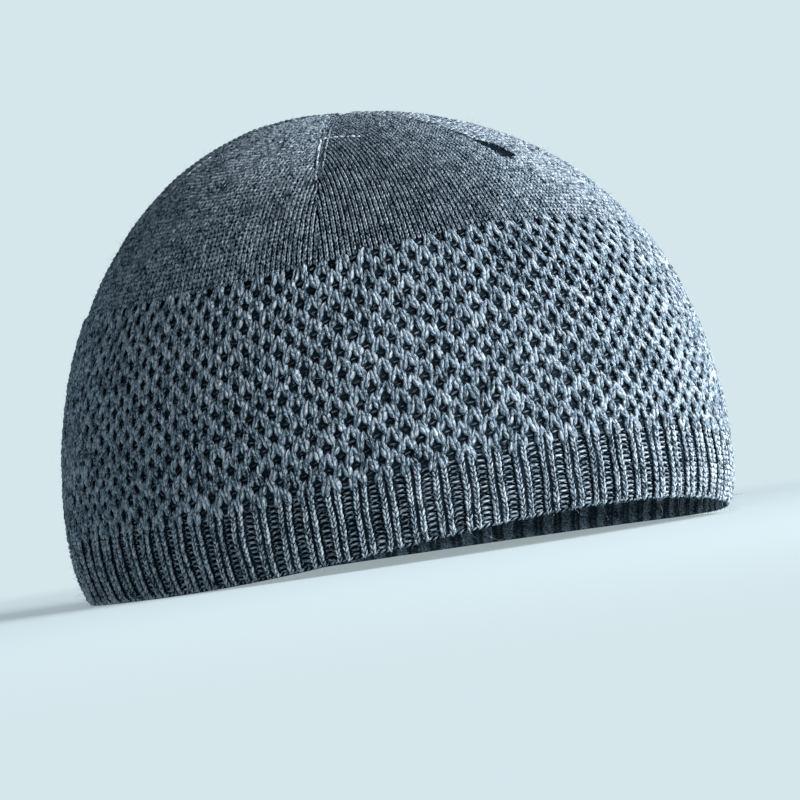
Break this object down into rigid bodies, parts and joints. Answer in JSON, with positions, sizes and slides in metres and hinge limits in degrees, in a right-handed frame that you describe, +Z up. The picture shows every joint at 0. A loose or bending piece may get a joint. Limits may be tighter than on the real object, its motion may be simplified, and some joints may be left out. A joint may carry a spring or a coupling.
{
  "type": "kufi",
  "caption": "Close-fitting knitted kufi cap with a ribbed rim band, a honeycomb moss-stitch side and a plain-knit domed crown drawn in by linked darts.",
  "frame": {"origin": "middle of the cap's oval, in the plane of the rim, at the sides and the back, that it rests on", "axes": "-Y to the front of the cap, +X to the wearer's left, +Z up through the apex of the crown"},
  "size_m": [0.17, 0.194, 0.1205],
  "materials": {
    "rib_knit": "matte heather grey yarn in a two by two rib",
    "moss_knit": "matte heather grey yarn in a double moss stitch",
    "plain_knit": "matte heather grey yarn in plain knit",
    "linked_seam": "matte heather grey yarn, linked edges"
  },
  "bodies": {
    "root": {"rib_band": "rib_knit", "moss_side": "moss_knit", "crown": "plain_knit", "dart_seam_front": "linked_seam", "dart_seam_left": "linked_seam", "dart_seam_back_left": "linked_seam", "dart_seam_back": "linked_seam", "dart_seam_right": "linked_seam", "dart_seam_front_right": "linked_seam"}
  },
  "joints": []
}
